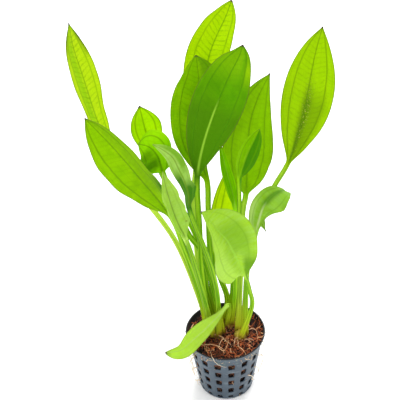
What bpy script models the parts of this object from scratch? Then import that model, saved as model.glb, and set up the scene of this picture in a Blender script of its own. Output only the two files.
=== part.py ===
"""A potted amazon sword plant: a net pot, its plug of coir, three crowns and seventeen leaves.

Lengths in the tables are millimetres and become metres where a mesh is made. The origin is the middle
of the pot's flat underside, +Z is up and the plant is seen from the front, which is -Y.
"""
import math

import bmesh
import bpy
from mathutils import Matrix, Vector

MM = 0.001
GAP = 0.3

# Net pot
POT_HEIGHT = 50.0
POT_RIM_RADIUS = 27.5
POT_COLLAR_RADIUS = 27.0
POT_TOP_RADIUS = 25.9
POT_BOTTOM_RADIUS = 19.3
POT_CORNER = 1.6
POT_WALL = 1.2
COLLAR_BOTTOM = 46.4
COLLAR_STEP = 0.6
HOLE_COLUMNS = 16
HOLE_ROWS = 5
HOLE_HEIGHT = 4.6
HOLE_PITCH = 9.2
FIRST_HOLE_TOP = 41.2
LOWEST_HOLE_BOTTOM = 2.0
HOLE_PHASE = 7.0
FLOOR_DISC_RADIUS = 7.0
FLOOR_SLOT_RADIUS = 14.0
FLOOR_SLOTS = 8

# Coir plug
COIR_TOP = 45.0
COIR_SHOULDER = 1.5
COIR_DIP = 0.4
COIR_RINGS = (18.5, 14.0, 9.0)
COIR_STEPS = 32
COIR_BUMP = 0.7
BUMP_CLEARANCE = 4.0

# Crowns: centre and radius, all standing on the coir
CROWN_TOP = 48.0
CROWN_FLARE = 0.7
CROWN_EDGE = 0.4
CROWN_STEPS = 20
CROWNS = {
    "crown_left": ((-7.0, 2.0), 7.1),
    "crown_middle": ((2.6, 8.6), 4.2),
    "crown_right": ((10.6, -2.4), 5.7),
}
FOOT_HEIGHT = CROWN_TOP + GAP

# Leaves: the sections along one leaf and the points around each section
PETIOLE_RINGS = 8
BLADE_RINGS = 12
SECTION_POINTS = 8
BLADE_THICKNESS = 0.8
TIP_THICKNESS = 0.4
CURVE_SAMPLES = 24
RING_CROWDING = 1.15
FLAT_FROM = 0.2
FOLD_FROM = 0.15
LOBE_UNTIL = 0.45

SKIN = {
    "net_pot": ((0.14, 0.17, 0.22), 0.5),
    "coir_plug": ((0.16, 0.06, 0.025), 0.95),
    "crown": ((0.42, 0.36, 0.03), 0.6),
    "leaf_bright": ((0.30, 0.62, 0.01), 0.4),
    "leaf_shaded": ((0.10, 0.34, 0.0), 0.4),
    "leaf_pale": ((0.42, 0.75, 0.10), 0.4),
}


def material(name, finish):
    """A plain material of one piece, in the colour of its kind."""
    color, roughness = SKIN[finish]
    made = bpy.data.materials.new(name)
    made.use_nodes = True
    shader = made.node_tree.nodes["Principled BSDF"]
    shader.inputs["Base Color"].default_value = (*color, 1.0)
    shader.inputs["Roughness"].default_value = roughness
    shader.inputs["Metallic"].default_value = 0.0
    return made


def add_object(name, bm, finish):
    """Put a finished mesh into the plant's collection as one named piece."""
    mesh = bpy.data.meshes.new(name)
    bm.to_mesh(mesh)
    bm.free()
    piece = bpy.data.objects.new(name, mesh)
    bpy.data.collections["potted_amazon_sword"].objects.link(piece)
    mesh.materials.append(material(name, finish))
    mesh.shade_smooth()
    mesh.set_sharp_from_angle(angle=math.radians(40.0))
    return piece


def turned(bm, profile, steps):
    """Spin a profile of (radius, height) points once around the vertical axis."""
    verts = [bm.verts.new((radius * MM, 0.0, height * MM)) for radius, height in profile]
    edges = [bm.edges.new(pair) for pair in zip(verts, verts[1:])]
    bmesh.ops.spin(bm, geom=verts + edges, axis=(0, 0, 1), cent=(0, 0, 0), steps=steps,
                   angle=2 * math.pi, use_merge=True)
    bmesh.ops.remove_doubles(bm, verts=bm.verts, dist=0.00001)
    bmesh.ops.recalc_face_normals(bm, faces=bm.faces)


def wall_radius(height):
    """Outer radius of the pot's tapered wall at a height."""
    share = height / COLLAR_BOTTOM
    return POT_BOTTOM_RADIUS + (POT_TOP_RADIUS - POT_BOTTOM_RADIUS) * share


def hole_bands():
    """Bottom and top of each row of holes, from the lowest row up."""
    tops = [FIRST_HOLE_TOP - HOLE_PITCH * row for row in range(HOLE_ROWS)]
    return [(max(top - HOLE_HEIGHT, LOWEST_HOLE_BOTTOM), top) for top in reversed(tops)]


def build_net_pot():
    """An open turned surface with the holes left out, thickened inwards to the wall."""
    heights = [height for band in hole_bands() for height in band]
    profile = [(0.0, 0.0), (FLOOR_DISC_RADIUS, 0.0), (FLOOR_SLOT_RADIUS, 0.0)]
    profile += [(POT_BOTTOM_RADIUS - POT_CORNER, 0.0), (wall_radius(POT_CORNER), POT_CORNER)]
    profile += [(wall_radius(height), height) for height in heights]
    profile += [(POT_TOP_RADIUS, COLLAR_BOTTOM), (POT_COLLAR_RADIUS, COLLAR_BOTTOM + COLLAR_STEP)]
    profile += [(POT_RIM_RADIUS, POT_HEIGHT)]
    bm = bmesh.new()
    turned(bm, profile, 2 * HOLE_COLUMNS)
    segment = math.pi / HOLE_COLUMNS
    holes = []
    for face in bm.faces:
        middle = face.calc_center_median() / MM
        column = int(math.atan2(middle.y, middle.x) % (2 * math.pi) / segment)
        in_band = any(low < middle.z < high for low, high in hole_bands())
        radius = middle.xy.length
        in_floor = middle.z < POT_WALL / 2 and FLOOR_DISC_RADIUS < radius < FLOOR_SLOT_RADIUS
        in_slot = in_floor and column % (2 * HOLE_COLUMNS // FLOOR_SLOTS) == 0
        if (in_band and column % 2 == 0) or in_slot:
            holes.append(face)
    bmesh.ops.delete(bm, geom=holes, context="FACES")
    turn = math.radians(-90.0 + HOLE_PHASE) - segment / 2
    bmesh.ops.rotate(bm, verts=bm.verts, cent=(0, 0, 0), matrix=Matrix.Rotation(turn, 3, "Z"))
    pot = add_object("net_pot", bm, "net_pot")
    wall = pot.modifiers.new("wall", "SOLIDIFY")
    wall.thickness = POT_WALL * MM
    wall.offset = -1.0
    wall.use_even_offset = True


def build_coir_plug():
    """A turned plug inside the pot's wall, its top a little uneven outside the crowns."""
    def inner(height):
        return wall_radius(height) - POT_WALL - 2 * GAP
    bottom = POT_WALL + GAP
    surface = COIR_TOP - COIR_DIP
    corner = 2 * LOWEST_HOLE_BOTTOM
    profile = [(0.0, bottom), (inner(0.0) - POT_CORNER, bottom), (inner(corner), corner)]
    profile += [(inner(COIR_TOP - COIR_SHOULDER), COIR_TOP - COIR_SHOULDER)]
    profile += [(inner(COIR_TOP) - COIR_SHOULDER, surface)]
    profile += [(radius, surface) for radius in COIR_RINGS] + [(0.0, surface)]
    bm = bmesh.new()
    turned(bm, profile, COIR_STEPS)
    for vert in bm.verts:
        x, y, z = vert.co / MM
        clear = min(math.hypot(x - cx, y - cy) - radius for (cx, cy), radius in CROWNS.values())
        if z > COIR_TOP - COIR_SHOULDER / 2 and clear > BUMP_CLEARANCE:
            vert.co.z += COIR_BUMP * (0.5 + 0.5 * math.sin(0.9 * x + 1.3) * math.cos(1.1 * y)) * MM
    add_object("coir_plug", bm, "coir_plug")


def build_crowns():
    """Short stubs standing on the coir, a little wider at the foot."""
    low = COIR_TOP - COIR_DIP + GAP
    for name, ((x, y), radius) in CROWNS.items():
        profile = [(0.0, low), (radius - CROWN_EDGE, low), (radius, low + 2 * CROWN_EDGE)]
        profile += [(radius - CROWN_FLARE, CROWN_TOP), (0.0, CROWN_TOP)]
        bm = bmesh.new()
        turned(bm, profile, CROWN_STEPS)
        bmesh.ops.translate(bm, verts=bm.verts, vec=(x * MM, y * MM, 0.0))
        add_object(name, bm, "crown")


def smooth_curve(points):
    """A dense centripetal curve through a leaf's route, with the length run at each sample."""
    points = [Vector(point) for point in points]
    ends = [2 * points[0] - points[1]] + points + [2 * points[-1] - points[-2]]
    samples = []
    for p0, p1, p2, p3 in zip(ends, ends[1:], ends[2:], ends[3:]):
        t1 = math.sqrt((p1 - p0).length)
        t2 = t1 + math.sqrt((p2 - p1).length)
        t3 = t2 + math.sqrt((p3 - p2).length)
        for step in range(CURVE_SAMPLES):
            t = t1 + (t2 - t1) * step / CURVE_SAMPLES
            a1 = p0.lerp(p1, t / t1)
            a2 = p1.lerp(p2, (t - t1) / (t2 - t1))
            a3 = p2.lerp(p3, (t - t2) / (t3 - t2))
            b1 = a1.lerp(a2, t / t2)
            b2 = a2.lerp(a3, (t - t1) / (t3 - t1))
            samples.append(b1.lerp(b2, (t - t1) / (t2 - t1)))
    samples.append(points[-1].copy())
    run = [0.0]
    for here, there in zip(samples, samples[1:]):
        run.append(run[-1] + (there - here).length)
    return samples, run


def at_length(samples, run, length):
    """Point and direction of the curve where a length has been run."""
    index = 1
    while index < len(run) - 1 and run[index] < length:
        index += 1
    share = (length - run[index - 1]) / (run[index] - run[index - 1])
    point = samples[index - 1].lerp(samples[index], share)
    return point, (samples[index] - samples[index - 1]).normalized()


def facing(azimuth, rise):
    """Direction that an upper face looks in: azimuth 0 is the front, 90 the right; rise is above level."""
    azimuth, rise = math.radians(azimuth), math.radians(rise)
    return Vector((math.sin(azimuth) * math.cos(rise), -math.cos(azimuth) * math.cos(rise), math.sin(rise)))


def blade_outline(share, belly, fullness):
    """Half width of a blade, 1 at its widest, for a share of its length from base to tip."""
    rise, fall = fullness * belly, fullness * (1 - belly)
    peak = belly ** rise * (1 - belly) ** fall
    return share ** rise * (1 - share) ** fall / peak


def ease(share):
    """A smooth step from 0 to 1."""
    share = min(max(share, 0.0), 1.0)
    return share * share * (3 - 2 * share)


def build_leaf(name, finish, route, blade_from, width, faces, folds=(14, 14), belly=0.5, fullness=2.0,
               petiole=(3.0, 2.4), halves=((1.0, 1.0), (1.0, 1.0)), lobes=(0.0, 0.0)):
    """One leaf: its petiole and blade are a loft of flattened sections along the route.

    route is the foot, points along the petiole and the midrib, and the tip; blade_from is the index of
    the point where the blade starts. faces are the directions of the upper side along the blade. For the
    left and the right half, folds lift it in degrees, halves scale its width, at the base and at the
    tip, and lobes run its base back.
    """
    samples, run = smooth_curve(route)
    start = run[blade_from * CURVE_SAMPLES]
    total = run[-1]
    lengths = [start * ring / PETIOLE_RINGS for ring in range(PETIOLE_RINGS)]
    blade = total - start
    lengths += [start + blade * (ring / BLADE_RINGS) ** RING_CROWDING for ring in range(BLADE_RINGS)]
    normals = [facing(*face) for face in faces]
    bm = bmesh.new()
    rings = []
    for length in lengths:
        point, along = at_length(samples, run, length)
        if length == 0.0:
            along = Vector((0.0, 0.0, 1.0))
        share = max(0.0, (length - start) / blade)
        stem = min(1.0, length / start)
        place = share * (len(normals) - 1)
        index = min(int(place), len(normals) - 2)
        normal = normals[index].lerp(normals[index + 1], ease(place - index))
        normal = (normal - along * normal.dot(along)).normalized()
        across = along.cross(normal)
        stalk = petiole[0] / 2 * (1 - 0.25 * stem - 0.6 * share)
        outline = width / 2 * blade_outline(share, belly, fullness)
        flat = ease(share / FLAT_FROM)
        thick = petiole[1] * (1 - 0.2 * stem) * (1 - flat)
        thick += flat * (BLADE_THICKNESS + (TIP_THICKNESS - BLADE_THICKNESS) * share)
        ring = []
        for corner in range(SECTION_POINTS):
            angle = 2 * math.pi * corner / SECTION_POINTS
            side = math.cos(angle)
            hand = 0 if side < 0 else 1
            scale = halves[0][hand] + (halves[1][hand] - halves[0][hand]) * share
            half = math.hypot(outline * scale, stalk)
            fold = math.radians(folds[hand]) * ease(share / FOLD_FROM)
            back = lobes[hand] * side * side * flat * (1 - ease(share / LOBE_UNTIL))
            spot = point + across * side * half * math.cos(fold) - along * back
            spot += normal * (abs(side) * half * math.sin(fold) + math.sin(angle) * thick / 2)
            ring.append(bm.verts.new(spot * MM))
        rings.append(ring)
    for low, high in zip(rings, rings[1:]):
        for corner in range(SECTION_POINTS):
            other = (corner + 1) % SECTION_POINTS
            bm.faces.new((low[corner], low[other], high[other], high[corner]))
    bm.faces.new(rings[0][::-1])
    tip = bm.verts.new(Vector(route[-1]) * MM)
    for corner in range(SECTION_POINTS):
        bm.faces.new((rings[-1][corner], rings[-1][(corner + 1) % SECTION_POINTS], tip))
    bmesh.ops.recalc_face_normals(bm, faces=bm.faces)
    add_object(name, bm, finish)


def foot(crown, angle, out):
    """Where a petiole stands on its crown: an angle from +X and a distance from the middle."""
    (x, y), _ = CROWNS[crown]
    turn = math.radians(angle)
    return x + out * math.cos(turn), y + out * math.sin(turn), FOOT_HEIGHT


def build_left_leaves():
    """The leaves of the left crown that lean to the left."""
    build_leaf("leaf_far_left", "leaf_bright",
               [foot("crown_left", 150, 5.2), (-19, 7, 83), (-31, 13, 121), (-42, 18, 140), (-55, 26, 155),
                (-68, 33, 173), (-77, 42, 199), (-84, 50, 228), (-88, 54, 246), (-89, 56, 260)], 4, 18,
               [(40, 20), (48, 15), (48, 15)], belly=0.6, halves=((1.0, 0.85), (1.0, 1.0)))
    build_leaf("leaf_left_broad", "leaf_bright",
               [foot("crown_left", 185, 5.2), (-17, 2, 85), (-20, 0, 103), (-26, -4, 132), (-32, -7, 157),
                (-50, -8, 190), (-64, -6, 211), (-78, -2, 228)], 4, 32,
               [(-24, 12), (-24, 12), (-20, 20)], folds=(27, 27), belly=0.56,
               halves=((1.0, 0.86), (1.0, 0.92)))
    build_leaf("leaf_left_back_small", "leaf_bright",
               [foot("crown_left", 72, 5.2), (-12, 8, 84), (-13, 11, 102), (-19, 16, 128), (-32, 21, 156),
                (-41, 26, 178), (-46, 30, 197), (-49, 33, 214)], 5, 19, [(8, 30), (8, 30)], belly=0.6)
    build_leaf("leaf_left_arching", "leaf_bright",
               [foot("crown_left", 335, 5.2), (-7, 2, 86), (-12, 5, 109), (-16, 6, 121), (-22, 5, 133),
                (-30, 4.5, 160), (-36, 4, 184), (-37, 4, 190), (-39, 3, 198), (-43, 2, 204), (-49, 1, 207)],
               6, 18, [(0, 20), (-5, 30), (-10, 40)], folds=(12, 12), belly=0.52, fullness=1.7,
               halves=((0.9, 0.8), (0.55, 1.4)))
    build_leaf("leaf_left_twisted", "leaf_pale",
               [foot("crown_left", 300, 5.2), (-5, -3, 87), (-8, -3, 109), (-12, -4, 127),
                (-21, -4, 162), (-21, -5, 173), (-23, -6, 184), (-26, -6, 193), (-29, -6, 201),
                (-34, -7, 207), (-40, -8, 212)], 4, 12.5,
               [(35, 30), (10, 40), (-5, 45)], folds=(12, 12), belly=0.42, fullness=1.6)
    build_leaf("leaf_left_narrow", "leaf_pale",
               [foot("crown_left", 258, 5.2), (-15, -6, 93), (-18, -9, 113), (-21, -11, 131), (-24, -13, 145),
                (-29, -15, 162), (-34, -17, 189), (-35, -17, 199)], 4, 14,
               [(38, 37), (38, 37)], folds=(33, 33), belly=0.5)


def build_middle_leaves():
    """The upright leaves of the left and the middle crown."""
    build_leaf("leaf_top", "leaf_bright",
               [foot("crown_left", 113, 5.2), (-15, 11, 77), (-17, 14, 102), (-18, 20, 126), (-18, 26, 149),
                (-15, 33, 172), (-10, 43, 203), (-5, 53, 235), (1, 57, 249), (6, 60, 258), (10, 62, 268)],
               5, 28, [(0, 30), (0, 25), (0, 20)], belly=0.58, fullness=1.6,
               halves=((1.0, 1.0), (1.1, 0.85)))
    build_leaf("leaf_center_back", "leaf_shaded",
               [foot("crown_left", 30, 5.2), (-8, 7.5, 83), (-9, 9, 122), (-9, 11, 150), (-9, 13, 169),
                (-13, 17, 185), (-15, 20, 199), (-14, 25, 216), (-12, 29, 233), (-13, 33, 247)], 4, 32,
               [(0, 30), (0, 30)], belly=0.58, fullness=1.8, halves=((1.0, 0.3), (1.0, 1.1)))
    build_leaf("leaf_center_dark", "leaf_shaded",
               [foot("crown_left", 222, 5.2), (-14, -2, 91), (-15, -1, 117), (-15, 1, 140), (-15, 5, 179),
                (-11, 8, 199), (-3, 12, 222), (6, 16, 242), (12, 19, 253), (14, 20, 259)], 4, 32,
               [(5, 30), (5, 30)], belly=0.58, fullness=1.75)
    build_leaf("leaf_rolled_young", "leaf_shaded",
               [foot("crown_middle", 325, 2.7), (7, -1, 87), (8, -3, 126), (10, -5, 158), (10, -6, 184),
                (12, -6, 193), (15, -7, 204), (22, -5, 218)], 4, 14, [(10, 30), (10, 30)], folds=(40, 40))
    build_leaf("leaf_back_low", "leaf_bright",
               [foot("crown_middle", 150, 2.7), (2, 8, 74), (-2, 10, 89), (-6, 12, 103), (-6, 13, 113),
                (-3, 16, 132), (0, 18, 146), (6, 22, 176)], 4, 13, [(0, 30), (0, 30)])
    build_leaf("leaf_over_rim", "leaf_pale",
               [foot("crown_middle", 240, 2.7), (2, 2, 60), (3, 0, 70), (2, -3, 77), (-5, -8, 72),
                (-15, -13, 64), (-22, -15, 58), (-31, -17, 50), (-42, -18, 49)], 3, 13,
               [(20, 50), (0, 50), (-20, 50)], belly=0.65)
    build_leaf("leaf_edge_on", "leaf_shaded",
               [foot("crown_middle", 60, 2.7), (5.5, 6.5, 82), (7, 5, 119), (8, 4, 153), (7, 4, 168),
                (4, 5, 187), (1, 7, 203)], 3, 10, [(0, 30), (0, 30)], folds=(60, 60))


def build_right_leaves():
    """The leaves of the right crown."""
    build_leaf("leaf_right_center", "leaf_bright",
               [foot("crown_right", 115, 3.7), (10.5, 5, 82), (12, 6, 118), (13, 8, 149), (15, 9, 161),
                (16, 12, 185), (18, 16, 209), (23, 19, 225), (30, 22, 239)], 4, 27,
               [(0, 30), (0, 30)], belly=0.52)
    build_leaf("leaf_right_tall", "leaf_bright",
               [foot("crown_right", 48, 3.7), (14.5, 5, 78), (16, 11, 95), (21, 19, 115), (27, 26, 133),
                (35, 31, 150), (44, 34, 166), (50, 37, 187), (54, 40, 204), (60, 47, 238), (64, 50, 254)],
               6, 33, [(0, 30), (0, 30), (0, 25)], petiole=(3.5, 2.6), belly=0.53)
    build_leaf("leaf_right_low", "leaf_pale",
               [foot("crown_right", 340, 3.7), (14.5, -1, 87), (16, -1, 111), (19, -1, 126),
                (21, 0, 138), (23, 3, 145), (26, 8, 151), (31, 13, 155), (37, 18, 157),
                (40, 22, 150), (38, 22, 140), (28, 18, 125)], 4, 19,
               [(0, 25), (0, 45), (10, 85), (170, 30), (180, -10)], folds=(14, 4),
               halves=((1.0, 1.3), (0.3, 0.65)), belly=0.3, fullness=2.6)
    build_leaf("leaf_front_broad", "leaf_pale",
               [foot("crown_right", 265, 3.7), (18, -8, 81), (16, -13, 99), (13, -18, 116), (9, -21, 129),
                (5, -25, 143), (1, -28, 155), (-4, -30, 164), (-8, -32, 172), (-14, -34, 182)], 3, 33,
               [(-25, 20), (5, 38), (30, 45)], folds=(27, 27), belly=0.45,
               halves=((1.15, 0.78), (0.9, 1.05)), lobes=(14.0, 4.0))


def main():
    """Build the plant into its own collection."""
    for leftover in list(bpy.data.objects):
        bpy.data.objects.remove(leftover, do_unlink=True)
    plant = bpy.data.collections.new("potted_amazon_sword")
    bpy.context.scene.collection.children.link(plant)
    build_net_pot()
    build_coir_plug()
    build_crowns()
    build_left_leaves()
    build_middle_leaves()
    build_right_leaves()


main()
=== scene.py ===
"""A potted amazon sword plant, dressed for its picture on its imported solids.

Lengths are millimetres, and MM turns them into metres where a mesh or a texture needs them. Only the
camera, the lamps and the floor are placed in metres, and the depth of a bump is in metres too. Colours are
written as 0 to 255 and made linear by tint(). The plant is seen from the front, which is -Y.
"""
import math

import bpy
import numpy as np
from mathutils import Matrix, Vector, noise


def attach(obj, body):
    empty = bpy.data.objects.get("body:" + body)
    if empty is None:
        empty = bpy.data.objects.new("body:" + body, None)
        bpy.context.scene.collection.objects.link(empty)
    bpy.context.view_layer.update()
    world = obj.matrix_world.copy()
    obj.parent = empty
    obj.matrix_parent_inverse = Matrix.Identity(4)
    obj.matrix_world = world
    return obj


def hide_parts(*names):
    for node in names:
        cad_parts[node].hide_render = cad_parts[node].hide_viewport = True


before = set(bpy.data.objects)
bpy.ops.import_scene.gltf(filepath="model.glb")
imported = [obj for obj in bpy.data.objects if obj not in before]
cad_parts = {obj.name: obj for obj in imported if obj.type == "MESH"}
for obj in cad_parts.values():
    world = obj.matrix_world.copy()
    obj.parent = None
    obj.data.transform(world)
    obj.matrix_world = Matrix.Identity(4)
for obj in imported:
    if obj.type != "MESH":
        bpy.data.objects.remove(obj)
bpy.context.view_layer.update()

MM = 0.001

# Camera, floor and light
# The camera looks down on the plant from the front. The floor and the room are plain white, and large
# soft lamps stand above, at the left and behind, so that the thin blades are lit through.
CAMERA_PLACE = Vector((-0.014, -0.420, 0.480))
CAMERA_DROP = 36.9
CAMERA_ROLL = -2.3
FOCAL_PIXELS = 850.0
FRAME_PIXELS = 400.0
FILM_WIDTH = 36.0
NEAREST_SEEN = 0.01
ROOM_LIGHT = 0.90
FLOOR_SIZE = 6.0
LAMPS_AIM = Vector((0.0, 0.0, 0.13))
# Each lamp's place and size in metres, and its power in watts.
LAMPS = {
    "lamp_front_left": ((-0.9, -1.1, 1.3), 0.9, 10.0),
    "lamp_above": ((0.1, 0.2, 1.8), 1.2, 15.0),
    "lamp_behind": ((0.5, 1.3, 0.9), 1.0, 18.0),
}


def tint(red, green, blue):
    """A colour as it looks on the screen, made linear for a shader."""
    def linear(part):
        part = part / 255.0
        return part / 12.92 if part <= 0.04045 else ((part + 0.055) / 1.055) ** 2.4
    return (linear(red), linear(green), linear(blue), 1.0)


def feed(place, value):
    """Link a value to a socket, or set the socket to a plain number, name or colour."""
    if isinstance(value, Value):
        place.id_data.links.new(value.socket, place)
    else:
        place.default_value = value


class Value:
    """A node's output whose sums, products and comparisons add Math nodes to its own tree."""

    def __init__(self, socket):
        self.socket = socket

    def math(self, operation, *values):
        node = self.socket.id_data.nodes.new("ShaderNodeMath")
        node.operation = operation
        for place, value in zip(node.inputs, values or (self,)):
            feed(place, value)
        return Value(node.outputs[0])

    def __add__(self, other):
        return self.math("ADD", self, other)

    def __radd__(self, other):
        return self.math("ADD", other, self)

    def __sub__(self, other):
        return self.math("SUBTRACT", self, other)

    def __rsub__(self, other):
        return self.math("SUBTRACT", other, self)

    def __mul__(self, other):
        return self.math("MULTIPLY", self, other)

    def __rmul__(self, other):
        return self.math("MULTIPLY", other, self)

    def __truediv__(self, other):
        return self.math("DIVIDE", self, other)

    def __rtruediv__(self, other):
        return self.math("DIVIDE", other, self)

    def __pow__(self, other):
        return self.math("POWER", self, other)

    def __mod__(self, other):
        return self.math("FLOORED_MODULO", self, other)

    def __lt__(self, other):
        return self.math("LESS_THAN", self, other)

    def __gt__(self, other):
        return self.math("GREATER_THAN", self, other)

    def __abs__(self):
        return self.math("ABSOLUTE")

    def sine(self):
        return self.math("SINE")

    def cosine(self):
        return self.math("COSINE")

    def least(self, other):
        return self.math("MINIMUM", self, other)

    def most(self, other):
        return self.math("MAXIMUM", self, other)

    def share(self):
        """The value held between 0 and 1."""
        return self.least(1.0).most(0.0)


class Made:
    """A node that was added, whose outputs are read by name or number."""

    def __init__(self, node):
        self.node = node

    def __getitem__(self, key):
        return Value(self.node.outputs[key])


class Nodes:
    """A node tree that is being written."""

    def __init__(self, tree):
        self.tree = tree
        tree.nodes.clear()

    def add(self, kind, settings=None, inputs=None):
        """One node: its kind, its settings, then the values or links of its sockets."""
        node = self.tree.nodes.new(kind)
        for name, value in (settings or {}).items():
            setattr(node, name, value)
        for name, value in (inputs or {}).items():
            feed(node.inputs[name], value)
        return Made(node)

    def mix(self, share, low, high):
        """A colour between two colours."""
        return self.add("ShaderNodeMix", {"data_type": "RGBA"}, {0: share, 6: low, 7: high})[2]

    def parts(self, vector):
        """The three parts of a vector."""
        split = self.add("ShaderNodeSeparateXYZ", None, {0: vector})
        return split["X"], split["Y"], split["Z"]

    def joined(self, x, y, z):
        """A vector of three values."""
        return self.add("ShaderNodeCombineXYZ", None, {0: x, 1: y, 2: z})[0]

    def grain(self, scale, detail=2.0, vector=None):
        """Noise from 0 to 1, in the piece's own space unless another vector is given."""
        vector = vector or self.add("ShaderNodeTexCoord")["Object"]
        return self.add("ShaderNodeTexNoise", None, {"Vector": vector, "Scale": scale, "Detail": detail})[0]

    def attribute(self, name, output="Vector"):
        """A mesh attribute of the piece."""
        return self.add("ShaderNodeAttribute", {"attribute_name": name})[output]

    def bump(self, height, depth):
        """A normal raised by a height of 0 to 1 times a depth in metres."""
        return self.add("ShaderNodeBump", None, {"Strength": 1.0, "Distance": depth, "Height": height})[0]


def material(name):
    """A new material and its empty tree."""
    made = bpy.data.materials.new(name)
    made.use_nodes = True
    return made, Nodes(made.node_tree)


def surface(nodes, color, roughness, gloss=0.5, normal=None):
    """A plain surface: its colour, roughness and gloss, and a raised normal where it has one."""
    sockets = {"Base Color": color, "Roughness": roughness, "Specular IOR Level": gloss}
    if normal:
        sockets["Normal"] = normal
    return nodes.add("ShaderNodeBsdfPrincipled", None, sockets)[0]


def finish_material(nodes, shader):
    """Send a shader to the material's output."""
    nodes.add("ShaderNodeOutputMaterial", None, {"Surface": shader})


camera = bpy.data.objects.new("camera", bpy.data.cameras.new("camera"))
bpy.context.scene.collection.objects.link(camera)
camera.data.sensor_width = FILM_WIDTH
camera.data.lens = FOCAL_PIXELS / FRAME_PIXELS * FILM_WIDTH
camera.data.clip_start = NEAREST_SEEN
camera.matrix_world = (Matrix.Translation(CAMERA_PLACE)
                       @ Matrix.Rotation(math.radians(90 - CAMERA_DROP), 4, "X")
                       @ Matrix.Rotation(math.radians(CAMERA_ROLL), 4, "Z"))
bpy.context.scene.camera = camera
bpy.context.scene.view_settings.view_transform = "Standard"

world = bpy.data.worlds.new("room")
bpy.context.scene.world = world
world.use_nodes = True
world.node_tree.nodes["Background"].inputs["Color"].default_value = (1.0, 1.0, 1.0, 1.0)
world.node_tree.nodes["Background"].inputs["Strength"].default_value = ROOM_LIGHT

for lamp_name, (lamp_place, lamp_size, lamp_power) in LAMPS.items():
    lamp = bpy.data.objects.new(lamp_name, bpy.data.lights.new(lamp_name, "AREA"))
    bpy.context.scene.collection.objects.link(lamp)
    lamp.data.size = lamp_size
    lamp.data.energy = lamp_power
    lamp.location = lamp_place
    lamp.rotation_euler = (LAMPS_AIM - Vector(lamp_place)).to_track_quat("-Z", "Y").to_euler()

floor_mesh = bpy.data.meshes.new("floor")
half_floor = FLOOR_SIZE / 2
floor_mesh.from_pydata([(-half_floor, -half_floor, 0), (half_floor, -half_floor, 0),
                        (half_floor, half_floor, 0), (-half_floor, half_floor, 0)], [], [(0, 1, 2, 3)])
floor = bpy.data.objects.new("floor", floor_mesh)
bpy.context.scene.collection.objects.link(floor)
floor_paint, n = material("floor_paint")
finish_material(n, surface(n, tint(250, 250, 250), 0.9))
floor_mesh.materials.append(floor_paint)


# Net pot
# A tapered pot, moulded in dark grey plastic in one piece: rows of rounded-square holes in the wall, slots
# in the floor and a plain collar that steps out under the rim. The plant stands in it.
POT_HEIGHT = 50.0
POT_BOTTOM_RADIUS = 19.3
POT_TOP_RADIUS = 25.9
POT_WALL = 0.9
COLLAR_BOTTOM = 46.4
RIM_BAND = 1.2
RIM_STEP = 0.4
FLOOR_INSET = 1.6
EDGE_ROUNDING = 0.12
WELD_DISTANCE = 0.02
HOLE_COLUMNS = 16
HOLE_PITCH = 9.2
FIRST_HOLE_TOP = 41.2
HOLE_PHASE = 7.0
TAPER = (POT_TOP_RADIUS - POT_BOTTOM_RADIUS) / COLLAR_BOTTOM
CORNER_POWER = 4.0
# The wall and the floor are one grid of lines. A cell of it holds one hole and the bars beside it.
CELL_LINES = 10
FLOOR_LINES = 10
WALL_LINES = 55
TOP_HOLE_LINE = 45
SLOT_START = 4
SLOT_END = 8


def grown(name, host, tree, settings, finishing=()):
    """Run a tree of geometry nodes on a host, then keep what it grew as one plain mesh piece."""
    maker = host.modifiers.new(tree.name, "NODES")
    maker.node_group = tree
    for socket in tree.interface.items_tree:
        if socket.in_out == "INPUT" and socket.name in settings:
            maker[socket.identifier] = settings[socket.name]
    for kind, values in finishing:
        extra = host.modifiers.new(kind.lower(), kind)
        for key, value in values.items():
            setattr(extra, key, value)
    mesh = bpy.data.meshes.new_from_object(host.evaluated_get(bpy.context.evaluated_depsgraph_get()))
    mesh.name = name
    piece = bpy.data.objects.new(name, mesh)
    bpy.context.scene.collection.objects.link(piece)
    bpy.data.objects.remove(host)
    mesh.shade_smooth()
    return piece


def host_object(name, data):
    """An object that only carries a tree of geometry nodes while it runs."""
    host = bpy.data.objects.new(name + "_host", data)
    bpy.context.scene.collection.objects.link(host)
    return host


def new_tree(name, inputs):
    """A tree of geometry nodes with named inputs, and those inputs as values."""
    tree = bpy.data.node_groups.new(name, "GeometryNodeTree")
    tree.interface.new_socket(name="Geometry", in_out="INPUT", socket_type="NodeSocketGeometry")
    tree.interface.new_socket(name="Geometry", in_out="OUTPUT", socket_type="NodeSocketGeometry")
    for label, kind in inputs.items():
        tree.interface.new_socket(name=label, in_out="INPUT", socket_type="NodeSocket" + kind)
    nodes = Nodes(tree)
    return tree, nodes, nodes.add("NodeGroupInput")


def end_tree(nodes, geometry, skin):
    """Close a tree: its instances made real, its material set."""
    real = nodes.add("GeometryNodeRealizeInstances", None, {"Geometry": geometry})[0]
    skinned = nodes.add("GeometryNodeSetMaterial", None, {"Geometry": real, "Material": skin})[0]
    nodes.add("NodeGroupOutput", None, {0: skinned})


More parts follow.
